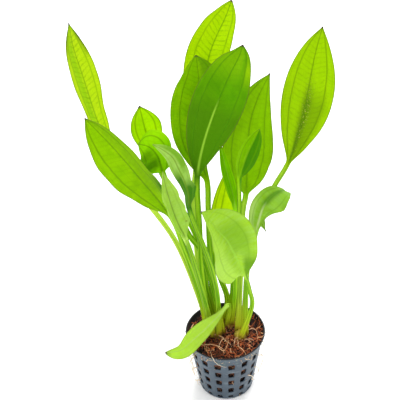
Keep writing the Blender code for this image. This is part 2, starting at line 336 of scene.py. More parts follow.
pot_plastic, n = material("pot_plastic")
x, y, z = n.parts(n.add("ShaderNodeTexCoord")["Object"])
out_from_axis = (x * x + y * y) ** 0.5
step = ((z - COLLAR_BOTTOM * MM) / (0.4 * MM)).share()
step = step + ((z - (POT_HEIGHT - RIM_BAND) * MM) / (RIM_BAND * MM)).share() * RIM_STEP
inside = (POT_BOTTOM_RADIUS * MM + TAPER * z + step * MM - 0.55 * MM - out_from_axis) / (0.3 * MM)
rim_edge = (z - (POT_HEIGHT - 0.8) * MM) / (0.5 * MM)
mottle = n.grain(90.0, 4.0)
streaks = n.grain(1.0, 3.0, n.joined(x * 160.0, y * 160.0, z * 420.0))
color = n.mix(mottle, tint(46, 58, 70), tint(82, 97, 110))
color = n.mix((streaks * 3.2 - 1.85).share() * 0.55, color, tint(150, 163, 168))
# Painted sheen: pale grey-green blotches on the band under the rim stand for the soft light that the
# plastic reflects there.
sheen_band = ((z - 41.5 * MM) / (1.5 * MM)).share() * (n.grain(230.0, 3.0) * 4.0 - 2.2).share()
color = n.mix(sheen_band * 0.6, color, tint(134, 158, 134))
# Painted shade: the inner face of the wall and the top edge of the rim are darkened nearly to black,
# standing for the shade inside the pot.
dark = (inside.share() + rim_edge.share()).share()
color = n.mix(dark * 0.97, color, tint(14, 16, 22))
finish_material(n, surface(n, color, mottle * 0.2 + 0.36, 0.35, n.bump(mottle + streaks * 0.5, 0.00006)))

pot_tree, n, given = new_tree("net_pot_lattice", {
    "Columns": "Float", "Hole Pitch": "Float", "Bottom Radius": "Float", "Taper": "Float"})
lines = FLOOR_LINES + WALL_LINES
around = given["Columns"] * CELL_LINES
grid = n.add("GeometryNodeMeshGrid", None, {
    "Size X": 1.0, "Size Y": 1.0, "Vertices X": around + 1, "Vertices Y": lines + 1})["Mesh"]
across, up, _ = n.parts(n.add("GeometryNodeInputPosition")[0])
column_line = (across + 0.5) * around
row_line = (up + 0.5) * lines
wall_line = row_line - FLOOR_LINES
below_top = TOP_HOLE_LINE - wall_line
half_cell = CELL_LINES / 2
quarter = CELL_LINES / 4
hole = (((column_line % CELL_LINES) < half_cell) * ((below_top % CELL_LINES) < half_cell + 1)
        * (below_top > 0) * (wall_line > 2))
slot = ((column_line % (2 * CELL_LINES)) < half_cell) * (row_line > SLOT_START) * (row_line < SLOT_END)
open_grid = n.add("GeometryNodeDeleteGeometry", {"domain": "FACE"}, {0: grid, 1: hole.most(slot)})[0]
side = ((column_line + quarter) % CELL_LINES - half_cell) / quarter
height = ((below_top + quarter) % CELL_LINES - half_cell) / quarter
square = abs(side).most(abs(height))
rounded = (abs(side) ** CORNER_POWER + abs(height) ** CORNER_POWER + 0.000001) ** (1 / CORNER_POWER)
in_rows = (wall_line > 0.5) * (below_top > -2.4)
pull = (square / rounded - 1) * (2 - square).share() * in_rows
column_line = column_line + side * quarter * pull
wall_line = wall_line - height * quarter * pull
z_of_first_line = FIRST_HOLE_TOP - HOLE_PITCH / CELL_LINES * TOP_HOLE_LINE
z_mm = given["Hole Pitch"] / CELL_LINES * wall_line + z_of_first_line
z_mm = z_mm.most(0.0).least(POT_HEIGHT)
collar = ((z_mm - (COLLAR_BOTTOM - 0.3)) / 0.7).share()
collar = collar + ((z_mm - (POT_HEIGHT - RIM_BAND)) / RIM_BAND).share() * RIM_STEP
wall_radius = given["Bottom Radius"] + given["Taper"] * z_mm + collar
floor_radius = (given["Bottom Radius"] - FLOOR_INSET) / FLOOR_LINES * row_line
on_wall = row_line > FLOOR_LINES + 0.5
radius = wall_radius * on_wall + floor_radius * (1 - on_wall)
turn = (column_line - quarter) / around * (2 * math.pi) + math.radians(HOLE_PHASE - 90.0)
place = n.joined(radius * turn.cosine() * MM, radius * turn.sine() * MM, z_mm * on_wall * MM)
shaped = n.add("GeometryNodeSetPosition", None, {"Geometry": open_grid, "Position": place})[0]
welded = n.add("GeometryNodeMergeByDistance", None, {"Geometry": shaped, "Distance": WELD_DISTANCE * MM})[0]
end_tree(n, welded, pot_plastic)

net_pot = grown("net_pot_wall", host_object("net_pot", bpy.data.meshes.new("net_pot_host")), pot_tree, {
    "Columns": float(HOLE_COLUMNS), "Hole Pitch": HOLE_PITCH, "Bottom Radius": POT_BOTTOM_RADIUS,
    "Taper": TAPER}, [
        ("SOLIDIFY", {"thickness": POT_WALL * MM, "offset": -1.0, "use_even_offset": True}),
        ("BEVEL", {"width": EDGE_ROUNDING * MM, "segments": 2, "limit_method": "ANGLE",
                   "angle_limit": math.radians(50)})])
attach(net_pot, "root")
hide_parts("net_pot")


# Coir plug
# Damp coconut fibre, pressed into the pot to a few millimetres below its rim. A dark, lumpy core, painted
# nearly black in places for the shade between the fibres, carries a tangle of loose curly fibres, on its
# top and behind the holes of the wall.
COIR_TOP = 45.6
COIR_FOOT = 1.8
LOWEST_FIBRE = 1.3
FIBRE_POINTS = 14
FIBRE_SIDES = 4
SIDE_CLEARANCE = 0.9
TOP_CLEARANCE = 0.7
BANK_HEIGHT = 2.6
BANK_FROM = 12.0
CORE_TURNS = 96
CORE_TOP_RINGS = 26
CORE_SIDE_RINGS = 30


def mesh_piece(name, points, faces, skin):
    """A mesh object from points in millimetres."""
    mesh = bpy.data.meshes.new(name)
    mesh.from_pydata([tuple(c * MM for c in point) for point in points], [], faces)
    mesh.materials.append(skin)
    mesh.shade_smooth()
    piece = bpy.data.objects.new(name, mesh)
    bpy.context.scene.collection.objects.link(piece)
    return piece


def ring_faces(rings, around):
    """Quads between rings of points that are written one after the other."""
    return [(ring * around + k, ring * around + (k + 1) % around,
             (ring + 1) * around + (k + 1) % around, (ring + 1) * around + k)
            for ring in range(rings - 1) for k in range(around)]


coir_core, n = material("coir_core")
clumps = n.grain(260.0, 5.0)
crumbs = n.grain(1400.0, 4.0)
# Painted shade: where the clumps noise is low the core goes nearly black, for the deep shade in the gaps
# between the fibres. The dark brown and the lighter crumbs are the coir's own colour.
color = n.mix((clumps * 2.6 - 1.0).share(), tint(8, 4, 6), tint(56, 25, 14))
color = n.mix((crumbs * 5.0 - 3.0).share(), color, tint(140, 76, 42))
finish_material(n, surface(n, color, 0.9, 0.25, n.bump(clumps + crumbs, 0.0009)))

core_points = []
for ring in range(CORE_SIDE_RINGS):
    z_here = COIR_FOOT + (COIR_TOP - 1.0 - COIR_FOOT) * ring / (CORE_SIDE_RINGS - 1)
    core_radius = POT_BOTTOM_RADIUS + TAPER * z_here - POT_WALL - SIDE_CLEARANCE
    for k in range(CORE_TURNS):
        turn_here = 2 * math.pi * k / CORE_TURNS
        spot = Vector((math.cos(turn_here), math.sin(turn_here), 0.0)) * core_radius
        lump = noise.noise(Vector((spot.x, spot.y, z_here)) * 0.45) * 0.5
        shrink = 1.0 if ring else 0.85
        spot = spot * (shrink * (1 + (lump - 0.25) / core_radius))
        core_points.append((spot.x, spot.y, z_here))
for ring in range(CORE_TOP_RINGS):
    core_radius = POT_BOTTOM_RADIUS + TAPER * COIR_TOP - POT_WALL - TOP_CLEARANCE
    core_radius *= 1 - ring / CORE_TOP_RINGS
    for k in range(CORE_TURNS):
        turn_here = 2 * math.pi * (k + 0.5 * ring) / CORE_TURNS
        spot = Vector((math.cos(turn_here) * core_radius, math.sin(turn_here) * core_radius, 0.0))
        lump = noise.noise(spot * 0.35) * 1.3 + noise.noise(spot * 1.1 + Vector((9, 2, 5))) * 0.8
        bank = BANK_HEIGHT * max(0.0, core_radius - BANK_FROM) / BANK_FROM
        bank *= max(0.0, 0.35 + 0.65 * math.cos(turn_here + 0.6))
        core_points.append((spot.x, spot.y, COIR_TOP + bank + lump * min(1.0, (ring + 0.5) / 3)))
core_faces = ring_faces(CORE_SIDE_RINGS + CORE_TOP_RINGS, CORE_TURNS)
core_points += [(0.0, 0.0, COIR_TOP), (0.0, 0.0, COIR_FOOT)]
top_start = (CORE_SIDE_RINGS + CORE_TOP_RINGS - 1) * CORE_TURNS
for k in range(CORE_TURNS):
    core_faces.append((top_start + k, top_start + (k + 1) % CORE_TURNS, len(core_points) - 2))
    core_faces.append(((k + 1) % CORE_TURNS, k, len(core_points) - 1))
coir = mesh_piece("coir_core", core_points, core_faces, coir_core)
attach(coir, "root")
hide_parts("coir_plug")


def past_wall(x, y, z):
    """How far a strand has come out through the pot's wall, from 0 to 1."""
    return (((x * x + y * y) ** 0.5 - z * TAPER - POT_BOTTOM_RADIUS * MM) / (0.8 * MM)).share()


coir_fibre, n = material("coir_fibre")
tone = n.attribute("tone", "Fac")
color = n.mix((tone * 1.9 - 0.75).share(), tint(40, 15, 9), tint(206, 104, 52))
color = n.mix((tone * 8.0 - 7.0).share(), color, tint(236, 184, 136))
x, y, z = n.parts(n.add("ShaderNodeTexCoord")["Object"])
deep_down = (((COIR_TOP - 2.0) * MM - z) / (4.0 * MM)).share()
color = n.mix(deep_down * 0.65, color, tint(112, 86, 68))
color = n.mix(past_wall(x, y, z) * 0.8, color, tint(226, 200, 164))
finish_material(n, surface(n, color, 0.62, 0.4, n.bump(n.grain(2600.0, 2.0), 0.0001)))


def at_random(nodes, low, high, seed):
    """A random number for each point, from low to high."""
    return nodes.add("FunctionNodeRandomValue", {"data_type": "FLOAT"}, {
        "Min": low, "Max": high, "Seed": seed})[1]


def stray(nodes, texture, reach):
    """How far a point strays to each side: a colour noise, turned about zero, times a reach."""
    about_zero = nodes.add("ShaderNodeVectorMath", {"operation": "SUBTRACT"}, {
        0: texture, 1: (0.5, 0.5, 0.5)})[0]
    return nodes.add("ShaderNodeVectorMath", {"operation": "SCALE"}, {0: about_zero, "Scale": reach})[0]


def strands(nodes, curves, sides, radius):
    """Closed strands along curves, with a radius that may change along them."""
    ring = nodes.add("GeometryNodeCurvePrimitiveCircle", None, {
        "Resolution": sides, "Radius": 1.0})["Curve"]
    return nodes.add("GeometryNodeCurveToMesh", None, {
        "Curve": curves, "Profile Curve": ring, "Scale": radius, "Fill Caps": True})[0]


fibre_tree, n, given = new_tree("coir_tangle", {
    "Density": "Float", "Length": "Float", "Radius": "Float", "Curl": "Float", "Lift": "Float",
    "Seed": "Int"})
spots = n.add("GeometryNodeDistributePointsOnFaces", None, {
    "Mesh": given["Geometry"], "Density": given["Density"], "Seed": given["Seed"]})
line = n.add("GeometryNodeCurvePrimitiveLine", None, {"Start": (-0.5, 0.0, 0.0), "End": (0.5, 0.0, 0.0)})[0]
line = n.add("GeometryNodeResampleCurve", None, {"Curve": line, "Count": FIBRE_POINTS})[0]
spin = n.joined(at_random(n, -0.5, 0.5, 11), at_random(n, -0.45, 0.25, 12),
                at_random(n, 0.0, 2 * math.pi, 13))
spin = n.add("FunctionNodeEulerToRotation", None, {0: spin})[0]
lay = n.add("FunctionNodeRotateRotation", {"rotation_space": "LOCAL"}, {0: spots["Rotation"], 1: spin})[0]
size = given["Length"] * at_random(n, 0.35, 1.0, 14)
laid = n.add("GeometryNodeInstanceOnPoints", None, {
    "Points": spots["Points"], "Instance": line, "Rotation": lay, "Scale": n.joined(size, size, size)})[0]
toned = n.add("GeometryNodeStoreNamedAttribute", {"data_type": "FLOAT", "domain": "INSTANCE"}, {
    "Geometry": laid, "Name": "tone", "Value": at_random(n, 0.0, 1.0, 15)})[0]
real = n.add("GeometryNodeRealizeInstances", None, {"Geometry": toned})[0]
tone_here = n.add("GeometryNodeInputNamedAttribute", {"data_type": "FLOAT"}, {"Name": "tone"})["Attribute"]
swirl = n.add("ShaderNodeTexNoise", {"noise_dimensions": "4D"}, {
    "Vector": n.add("GeometryNodeInputPosition")[0], "W": tone_here * 40.0, "Scale": 150.0,
    "Detail": 1.5})["Color"]
lifted = n.add("ShaderNodeVectorMath", {"operation": "MULTIPLY"}, {
    0: stray(n, swirl, given["Curl"]), 1: n.joined(1.0, 1.0, given["Lift"])})[0]
curled = n.add("GeometryNodeSetPosition", None, {"Geometry": real, "Offset": lifted})[0]
x, y, z = n.parts(n.add("GeometryNodeInputPosition")[0])
curled = n.add("GeometryNodeSetPosition", None, {
    "Geometry": curled, "Position": n.joined(x, y, z.most(LOWEST_FIBRE * MM))})[0]
along = n.add("GeometryNodeSplineParameter")["Factor"]
thick = given["Radius"] * (0.45 + tone_here * 0.75) * (1.05 - abs(along * 2 - 1) ** 5)
end_tree(n, strands(n, curled, FIBRE_SIDES, thick), coir_fibre)


def tangle(name, low, high, settings):
    """Loose fibres grown from the stretch of the core between two heights, so many to a square metre."""
    core = coir.data
    faces = [tuple(p.vertices) for p in core.polygons if low * MM < p.center.z < high * MM]
    mesh = bpy.data.meshes.new(name + "_bed")
    mesh.from_pydata([v.co for v in core.vertices], [], faces)
    piece = grown(name, host_object(name, mesh), fibre_tree, settings)
    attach(piece, "root")


tangle("coir_fibres_top", COIR_TOP - 0.8, COIR_TOP + 6.0, {
    "Density": 520000.0, "Length": 15 * MM, "Radius": 0.29 * MM, "Curl": 12 * MM, "Lift": 0.5, "Seed": 4})
tangle("coir_fibres_side", COIR_FOOT, COIR_TOP - 1.2, {
    "Density": 200000.0, "Length": 12 * MM, "Radius": 0.21 * MM, "Curl": 3 * MM, "Lift": 1.0, "Seed": 7})


# Roots
# The plant's own roots, pale and thicker than the coir. They loop over its top, and a few fine ones have
# grown out through the holes and over the rim.
ROOT_POINTS = 40
ROOT_SIDES = 7

root_skin, n = material("root_skin")
pale = n.grain(300.0, 3.0)
color = n.mix((pale * 2.4 - 0.7).share(), tint(196, 132, 92), tint(240, 204, 168))
x, y, z = n.parts(n.add("ShaderNodeTexCoord")["Object"])
color = n.mix(past_wall(x, y, z) * 0.8, color, tint(240, 226, 196))
finish_material(n, surface(n, color, 0.55, 0.5, n.bump(n.grain(1500.0, 3.0), 0.0002)))

root_tree, n, given = new_tree("root_strand", {"Radius": "Float", "Wander": "Float"})
fine = n.add("GeometryNodeResampleCurve", None, {"Curve": given["Geometry"], "Count": ROOT_POINTS})[0]
drift = n.add("ShaderNodeTexNoise", None, {
    "Vector": n.add("GeometryNodeInputPosition")[0], "Scale": 210.0, "Detail": 1.0})["Color"]
moved = n.add("GeometryNodeSetPosition", None, {
    "Geometry": fine, "Offset": stray(n, drift, given["Wander"])})[0]
along = n.add("GeometryNodeSplineParameter")["Factor"]
end_tree(n, strands(n, moved, ROOT_SIDES, given["Radius"] * (1.1 - along * 0.75)), root_skin)


def roots(name, routes, radius, wander):
    """Roots of one radius, each along its own few points, which wander about their route."""
    curve = bpy.data.curves.new(name, "CURVE")
    curve.dimensions = "3D"
    for route in routes:
        spline = curve.splines.new("BEZIER")
        spline.bezier_points.add(len(route) - 1)
        for knot, point in zip(spline.bezier_points, route):
            knot.co = Vector(point) * MM
            knot.handle_left_type = "AUTO"
            knot.handle_right_type = "AUTO"
    piece = grown(name, host_object(name, curve), root_tree, {
        "Radius": radius * MM, "Wander": wander * MM})
    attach(piece, "root")


roots("roots_on_top", [
    [(-14.2, -6.5, 45.8), (-13.2, -4.3, 49.1), (-9.7, -2.6, 49.5), (-4.4, -4.4, 49.6), (-0.7, -8.4, 49.2),
     (2.0, -11.1, 48.6), (5.0, -14.0, 45.6)],
    [(10.4, -5.6, 46.0), (12.4, -3.4, 49.4), (16.5, 0.2, 49.8), (20.4, 0.4, 49.5), (22.4, -3.6, 49.0),
     (21.8, -7.6, 46.2)],
    [(9.2, -5.0, 45.4), (7.1, -7.0, 49.2), (6.2, -9.6, 49.0), (5.9, -12.9, 45.8)],
    [(7.4, -6.0, 45.8), (8.2, -9.6, 49.2), (8.8, -13.0, 48.6), (9.3, -16.6, 45.6)],
    [(-16.0, -9.0, 45.6), (-12.4, -11.6, 49.0), (-8.0, -12.8, 49.2), (-3.0, -15.2, 48.4),
     (1.0, -19.0, 45.6)],
    [(12.0, -7.0, 45.6), (14.6, -8.6, 49.2), (18.4, -9.0, 48.6), (20.4, -11.4, 45.6)],
    [(-4.0, -5.2, 45.6), (-2.2, -7.6, 49.0), (-4.4, -11.4, 48.6), (-3.2, -16.2, 45.6)],
], radius=0.36, wander=2.4)
roots("roots_over_rim", [
    [(-13.9, -10.8, 45.4), (-11.8, -14.8, 47.6), (-10.7, -19.5, 48.0), (-10.2, -24.2, 50.6),
     (-9.6, -26.0, 50.4),
     (-8.4, -26.7, 47.8), (-6.6, -26.5, 45.0), (-3.4, -26.4, 42.8), (-0.4, -26.2, 41.6)],
    [(-20.5, -8.0, 38.5), (-25.8, -5.4, 37.5), (-26.6, -4.0, 33.0), (-24.9, -4.2, 27.0),
     (-23.6, -4.0, 20.0),
     (-22.0, -2.6, 11.0), (-20.8, -1.6, 4.0)],
    [(-22.0, -6.4, 30.5), (-25.2, -6.6, 29.0), (-24.8, -8.6, 23.0), (-22.4, -10.0, 17.0)],
    [(13.6, -16.8, 22.0), (17.4, -17.0, 21.0), (17.4, -15.4, 16.0), (19.2, -10.4, 9.0),
     (19.4, -7.0, 5.5)],
    [(20.5, -7.0, 31.5), (24.4, -7.2, 31.0), (25.6, -6.8, 32.6), (26.8, -6.4, 33.0)],
    [(20.0, 12.0, 45.2), (23.4, 12.4, 49.0), (25.6, 11.6, 52.0), (28.0, 10.4, 53.2)],
    [(-22.6, -3.0, 40.0), (-25.4, -1.0, 40.6), (-26.6, 0.6, 37.0), (-25.6, 1.6, 31.0)],
    [(-20.6, -10.0, 24.0), (-22.8, -10.4, 24.4), (-23.8, -9.4, 20.0), (-22.2, -8.4, 13.0)],
    [(-18.6, -10.6, 13.0), (-20.4, -11.6, 13.6), (-21.2, -10.4, 9.0), (-19.8, -8.8, 4.0)],
    [(-19.2, -6.0, 6.0), (-21.6, -6.6, 7.0), (-22.8, -4.6, 5.0), (-22.2, -2.0, 2.6)],
    [(19.0, -12.0, 24.0), (21.8, -12.4, 24.4), (22.8, -10.8, 20.0), (22.0, -8.0, 13.0)],
    [(22.0, -4.0, 38.0), (25.6, -3.6, 38.6), (26.6, -2.6, 35.0), (25.4, -1.8, 29.0)],
    [(-20.0, -9.0, 36.0), (-23.6, -11.4, 36.4), (-24.6, -10.6, 31.0), (-23.4, -10.2, 24.0),
     (-22.6, -9.8, 17.0)],
    [(-22.0, 0.0, 34.0), (-26.4, 0.6, 34.6), (-27.2, -1.6, 30.0), (-25.8, -3.0, 24.0),
     (-24.6, -1.0, 18.0)],
    [(-20.4, -4.4, 18.0), (-24.0, -5.2, 18.6), (-24.4, -3.4, 14.0), (-22.8, -3.6, 8.0)],
    [(21.0, -2.0, 26.0), (25.2, -2.6, 26.6), (25.8, -4.4, 22.0), (24.0, -5.0, 16.0), (23.2, -3.6, 10.0)],
], radius=0.27, wander=1.6)


# Crowns
# The short rootstocks that the leaves grow from. The brown and yellow feet of old sheaths wrap them, and
# they stand in the coir.
CROWN_LOW = 43.6
CROWN_TOP = 50.5
CROWN_RINGS = 20
CROWN_TURNS = 60
# Each crown's middle and its radius in millimetres.
CROWNS = {
    "crown_left": ((-7.0, 2.0), 7.1),
    "crown_middle": ((2.6, 8.6), 4.2),
    "crown_right": ((10.6, -2.4), 5.7),
}

crown_skin, n = material("crown_skin")
x, y, z = n.parts(n.add("ShaderNodeTexCoord")["Object"])
husk = n.grain(1.0, 4.0, n.joined(x * 700.0, y * 700.0, z * 120.0))
rise = ((z - 45.0 * MM) / (5.0 * MM)).share()
color = n.mix(rise, tint(120, 66, 30), tint(196, 178, 62))
color = n.mix((husk * 3.0 - 1.2).share() * 0.7, color, tint(94, 58, 26))
finish_material(n, surface(n, color, 0.6, 0.5, n.bump(husk, 0.0008)))

for crown_name, ((crown_x, crown_y), crown_radius) in CROWNS.items():
    crown_points = []
    for ring in range(CROWN_RINGS):
        rise_here = ring / (CROWN_RINGS - 1)
        z_here = CROWN_LOW + (CROWN_TOP - CROWN_LOW) * math.sin(rise_here * math.pi / 2)
        dome = 0.96 * math.cos(rise_here * math.pi / 2 * 0.97) ** 0.5
        for k in range(CROWN_TURNS):
            turn_here = 2 * math.pi * k / CROWN_TURNS
            east, north = math.cos(turn_here), math.sin(turn_here)
            lobes = 0.08 * math.cos(5 * turn_here + crown_x) + 0.05 * math.cos(9 * turn_here + 2.0)
            lump = noise.noise(Vector((east, north, z_here * 0.5 + crown_x))) * 0.1
            reach = crown_radius * dome * (1 + lobes + lump - 0.08)
            crown_points.append((crown_x + reach * east, crown_y + reach * north, z_here))
    crown_faces = ring_faces(CROWN_RINGS, CROWN_TURNS)
    crown_faces.append(tuple(range((CROWN_RINGS - 1) * CROWN_TURNS, CROWN_RINGS * CROWN_TURNS)))
    crown_faces.append(tuple(reversed(range(CROWN_TURNS))))
    crown = mesh_piece(crown_name + "_husk", crown_points, crown_faces, crown_skin)
    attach(crown, "root")
    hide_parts(crown_name)


# Leaves
# Each leaf is one thin living piece: a grooved stalk, broad at its foot, that runs on as the blade's
# midrib. The blade has two strong side veins, fine cross veins like rungs, a thin edge and a dark tip.
FOOT_HEIGHT = 48.3
CURVE_SAMPLES = 24
STALK_RINGS = 26
BLADE_RINGS = 64
SECTION_STEPS = 22
FOOT_FLARE = 0.4
FLARE_LENGTH = 16.0
RIB_HEIGHT = 0.95
RIB_WIDTH = 0.85
RIB_GROOVE = 0.4
STALK_GROOVE = 0.6
EDGE_THICKNESS = 0.22
MIDDLE_THICKNESS = 0.3
FOLD_ROUNDING = 0.006
FOLD_DROP = 0.0775
VEIN_DIP = 0.22
VEIN_WIDTH = 1.1
# The side veins stand at this share of the half width. The cross veins repeat at these pitches.
SIDE_VEIN = 0.64
RUNG_PITCH = 3.3
OUTER_PITCH = 2.1


def smooth_curve(points):
    """A dense centripetal curve through a leaf's route, with the length run at each sample."""
    points = [Vector(point) for point in points]
    ends = [2 * points[0] - points[1]] + points + [2 * points[-1] - points[-2]]
    samples = []
    for p0, p1, p2, p3 in zip(ends, ends[1:], ends[2:], ends[3:]):
        t1 = math.sqrt((p1 - p0).length)
        t2 = t1 + math.sqrt((p2 - p1).length)
        t3 = t2 + math.sqrt((p3 - p2).length)
        for step in range(CURVE_SAMPLES):
            t = t1 + (t2 - t1) * step / CURVE_SAMPLES
            a1 = p0.lerp(p1, t / t1)
            a2 = p1.lerp(p2, (t - t1) / (t2 - t1))
            a3 = p2.lerp(p3, (t - t2) / (t3 - t2))
            b1 = a1.lerp(a2, t / t2)
            b2 = a2.lerp(a3, (t - t1) / (t3 - t1))
            samples.append(b1.lerp(b2, (t - t1) / (t2 - t1)))
    samples.append(points[-1].copy())
    run = [0.0]
    for here, there in zip(samples, samples[1:]):
        run.append(run[-1] + (there - here).length)
    return np.array(samples), np.array(run)


def at_length(samples, run, length):
    """Point and direction of the curve where a length has been run."""
    def spot(where):
        return Vector([np.interp(where, run, samples[:, axis]) for axis in range(3)])
    return spot(length), (spot(min(length + 1.5, run[-1])) - spot(max(length - 1.5, 0.0))).normalized()


def facing(azimuth, rise):
    """Direction that an upper face looks in: azimuth 0 is the front, 90 the right; rise is above level."""
    azimuth, rise = math.radians(azimuth), math.radians(rise)
    return Vector((math.sin(azimuth) * math.cos(rise), -math.cos(azimuth) * math.cos(rise), math.sin(rise)))


def ease(share):
    """A smooth step from 0 to 1."""
    share = min(max(share, 0.0), 1.0)
    return share * share * (3 - 2 * share)


def leaf_skin(name, bright, deep, vein, rib, glow, rung=0.5, slant=0.5, painted_sheen=0.0, light_and_shade_patches=(),
              rib_until=1.1, lit=0.0, grit=0.0, worn=1.0, spots=()):
    """A leaf's skin: two greens that drift into each other, its veins, painted light and shade, and the
    light through it.

    Colours are red, green and blue from 0 to 255. rung is the strength of the cross veins and slant how far
    they lean towards the tip. painted_sheen is a painted sheen: a pale green that stands for the white
    light reflected off the glossy upper face, and it also raises the gloss. light_and_shade_patches are
    painted shade
    and painted light on folds, curls and turned halves of the blade, and a few at the tip add to its dark
    end:
    colour, strength, and their limits across (-1 to 1) and along the blade (0 to 1). Beyond rib_until the
    midrib is as dark as the veins. lit is how much the stalk is paled by painted light, as if light shone
    through it, grit how rough and dark the midrib is, and worn how dark the edge and the tip are. spots are
    brown specks: millimetres across and along, and size.
    """
    bright, deep, vein, rib, glow = (tint(*color) for color in (bright, deep, vein, rib, glow))
    skin, n = material("skin_" + name)
    side, along, share = n.parts(n.attribute("place"))
    across, half, foot_mm = n.parts(n.attribute("reach"))
    wide = abs(side)
    drift = n.grain(1.0, 2.0, n.joined(across * 0.22, along * 0.16, 3.0))
    fine = n.grain(1.0, 4.0, n.joined(across * 0.9, along * 0.9, 31.0))
    wobble = drift - 0.5
    color = n.mix((drift * 2.4 - 0.7).share(), bright, deep)
    color = n.mix((fine * 3.0 - 1.3).share() * 0.22, color, vein)
    # Painted sheen: a pale green stands for the white light reflected off the glossy upper face.
    if painted_sheen:
        sheen_noise = n.grain(1.0, 3.0, n.joined(across * 0.1, along * 0.5, 8.0))
        color = n.mix((sheen_noise * 2.0 - 0.6).share() * painted_sheen, color, tint(204, 236, 150))
    shade = 0.0
    # Painted light and shade: each area of another green pales or darkens the blade where it folds, curls
    # or turns from the light, and a few at the tip add to its dark end. The same areas let less light
    # through.
    for patch, strength, left_end, right_end, low_end, high_end in light_and_shade_patches:
        inside = (((side - left_end) * 4.0).share() * ((right_end - side) * 4.0).share()
                  * ((share + wobble * 0.12 - low_end) * 7.0).share()
                  * ((high_end - share - wobble * 0.12) * 7.0).share())
        color = n.mix(inside * strength, color, tint(*patch))
        shade = inside * (0.6 * strength) + shade
    on_blade = (share * 14.0).share()
    midrib = (1 - abs(across) / (1.15 - 0.8 * share).most(0.4)).share() ** 0.8
    strong = (1 - abs(wide - SIDE_VEIN - wobble * 0.05) * half / 0.75).share()
    faint = (1 - abs(wide - 0.87) * half / 0.3).share() * 0.45
    inner = (1 - abs(wide - 0.33) * half / 0.3).share() * 0.35
    rung_line = (along - abs(across) * slant + wobble * 4.0) / RUNG_PITCH
    rungs = (1 - abs(rung_line % 1.0 - 0.5) * (RUNG_PITCH / 0.8)).share() * (wide < SIDE_VEIN)
    outer_line = (along + abs(across) * 0.15 + wobble * 3.0) / OUTER_PITCH
    outer = (1 - abs(outer_line % 1.0 - 0.5) * (OUTER_PITCH / 0.55)).share() * (wide > SIDE_VEIN) * 0.6
    net = n.add("ShaderNodeTexVoronoi", {"feature": "DISTANCE_TO_EDGE"}, {
        "Vector": n.joined(across, along, 0.0), "Scale": 1.0})[0]
    mesh_veins = (1 - net * 8.0).share() * 0.3
    patchy = (n.grain(1.0, 2.0, n.joined(across * 0.3, along * 0.11, 17.0)) * 2.6 - 0.5).share()
    fine_veins = (rungs.most(outer) * patchy).most(mesh_veins) * rung
    veins = strong.most(faint).most(inner).most(fine_veins) * on_blade
    color = n.mix((veins * (0.8 - painted_sheen * 0.8)).share(), color, vein)
    if grit:
        grains = n.grain(1.0, 2.0, n.joined(across * 0.95, along * 0.95, 44.0))
        rough = (1.2 - abs(side - 0.06) * 5.0).share() * ((0.7 - share) * 5.0).share() * on_blade * grit
        color = n.mix((grains * 9.0 - 3.4).share() * rough, color, tint(70, 112, 0))
        color = n.mix((grains * 12.0 - 6.9).share() * rough, color, tint(214, 218, 90))
    color = n.mix(midrib * on_blade * 0.9, color, n.mix(((share - rib_until) * 9.0).share(), rib, vein))
    for spot_across, spot_along, spot_size in spots:
        beside, beyond = across - spot_across, along - spot_along
        away = (beside * beside + beyond * beyond) ** 0.5
        color = n.mix((spot_size * 2 - away * 2).share() * 0.85, color, tint(112, 104, 30))
    edge = (1.2 - (1 - wide) * half / 0.75).share() * on_blade
    color = n.mix(edge * (0.8 - painted_sheen) * worn, color, tint(98, 116, 30))
    tip = (1.6 - (along / share.most(0.01) - along) / 1.1).share() * on_blade * worn
    color = n.mix(tip, color, tint(60, 52, 40))
    grooves = n.grain(1.0, 2.0, n.joined(side * 3.2, foot_mm * 0.012, 5.0))
    stalk = n.mix((grooves * 3.6 - 1.3).share(), tint(88, 152, 0), tint(170, 216, 40))
    # Painted shade: the sides of each stalk are darkened, so that it stands apart from the stalks behind
    # it.
    stalk = n.mix((wide * 4.0 - 3.0).share() * 0.8, stalk, tint(70, 120, 0))
    # Painted light: the stalk is paled towards a bright yellow-green, as if light shone through it.
    if lit:
        stalk = n.mix(lit, stalk, tint(222, 244, 96))
    stalk = n.mix((1 - foot_mm / 34.0).share() * 0.8, stalk, tint(204, 206, 36))
    stalk = n.mix((1 - foot_mm / 6.0).share(), stalk, tint(180, 152, 50))
    color = n.mix(((share + 0.06) * 16.0).share(), stalk, color)
    relief = n.bump(veins.most(midrib * on_blade) * 0.7 + grooves * 0.3, 0.00022)
    green = surface(n, color, 0.4 + drift * 0.22, 0.05 + painted_sheen * 0.25, relief)
    light_through = n.add("ShaderNodeBsdfTranslucent", None, {"Color": glow})[0]
    share_through = (0.46 - (veins + edge).share() * (0.24 - painted_sheen * 0.4) - midrib * 0.26).most(0.05)
    share_through = share_through * (0.35 + on_blade * 0.65)
    share_through = (share_through * (1 - shade) * (1 - tip)).share()
    finish_material(n, n.add("ShaderNodeMixShader", None, {
        0: share_through, 1: green, 2: light_through})[0])
    return skin


